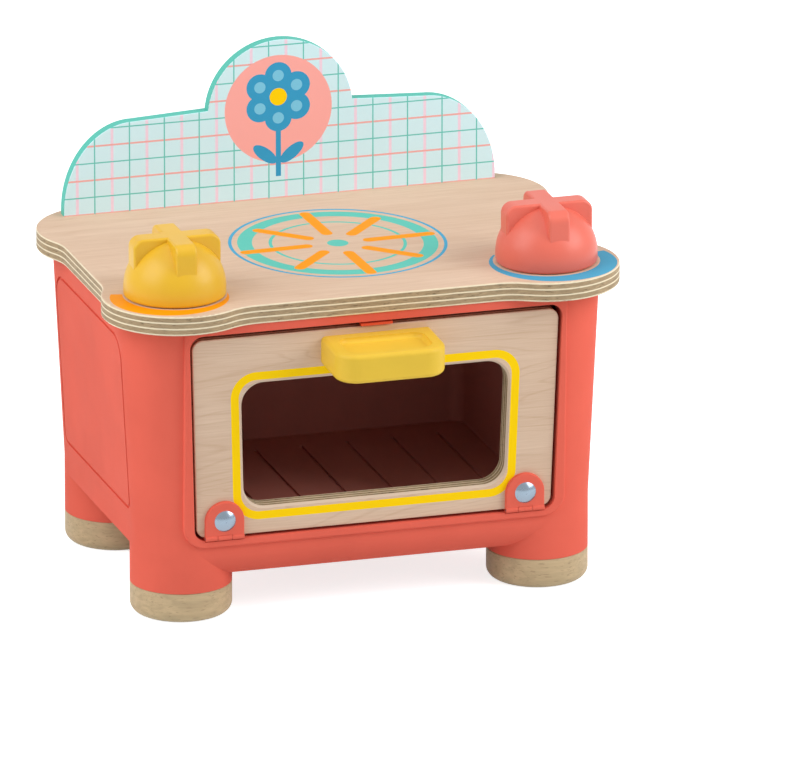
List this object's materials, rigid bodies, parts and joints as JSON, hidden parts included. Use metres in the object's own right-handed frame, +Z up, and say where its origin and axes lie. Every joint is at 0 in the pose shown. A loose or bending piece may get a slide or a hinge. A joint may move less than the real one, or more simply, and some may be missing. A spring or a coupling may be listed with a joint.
{
  "type": "toy oven",
  "caption": "Child's play oven with a moulded shell on wooden feet, plywood top and drop-down door, printed splashback and two turning knobs.",
  "frame": {"origin": "middle of the bounding box at floor level, under the four feet", "axes": "+Z up, +X to the right seen from the front, +Y to the back; the door faces -Y"},
  "size_m": [0.2344, 0.1887, 0.2192],
  "materials": {
    "coral_plastic": "injection moulded, satin",
    "oven_plastic": "injection moulded, dark, matt",
    "birch_plywood": "sanded and lacquered plywood, banded edges",
    "printed_board": "painted plywood with a printed plaid",
    "beech": "turned, sanded and oiled",
    "yellow_plastic": "moulded, semi-gloss",
    "red_plastic": "moulded, semi-gloss",
    "pale_plastic": "moulded, satin",
    "orange_plastic": "moulded, semi-gloss",
    "bright_steel": "polished, plated",
    "screw_steel": "zinc plated"
  },
  "bodies": {
    "root": {"body_shell": "coral_plastic", "oven_liner": "oven_plastic", "liner_screws": "screw_steel", "front_left_foot": "beech", "front_right_foot": "beech", "back_left_foot": "beech", "back_right_foot": "beech", "foot_screws": "screw_steel", "tabletop": "birch_plywood", "tabletop_screws": "screw_steel", "splashback": "printed_board", "splashback_screws": "screw_steel", "left_knob_bush": "pale_plastic", "right_knob_bush": "pale_plastic", "left_hinge_leaf": "coral_plastic", "right_hinge_leaf": "coral_plastic", "left_hinge_pin": "screw_steel", "right_hinge_pin": "screw_steel", "hinge_screws": "screw_steel", "door_catch": "orange_plastic", "catch_screws": "screw_steel"},
    "door": {"door_panel": "birch_plywood", "door_handle": "yellow_plastic", "handle_screws": "screw_steel", "left_hinge_tab": "coral_plastic", "right_hinge_tab": "coral_plastic", "left_rivet": "bright_steel", "right_rivet": "bright_steel"},
    "left_knob": {"left_knob": "yellow_plastic", "left_knob_washer": "screw_steel", "left_knob_screw": "screw_steel"},
    "right_knob": {"right_knob": "red_plastic", "right_knob_washer": "screw_steel", "right_knob_screw": "screw_steel"}
  },
  "joints": [
    {"name": "door_hinge", "type": "hinge", "parent": "root", "child": "door", "pos_m": [0, -0.06345, 0.03916], "axis": [1, 0, 0], "range_deg": [0, 90]},
    {"name": "left_knob_turn", "type": "hinge", "parent": "root", "child": "left_knob", "pos_m": [-0.085, -0.04265, 0.1459], "axis": [0, 0, 1], "continuous": true},
    {"name": "right_knob_turn", "type": "hinge", "parent": "root", "child": "right_knob", "pos_m": [0.085, -0.04265, 0.1459], "axis": [0, 0, 1], "continuous": true}
  ]
}
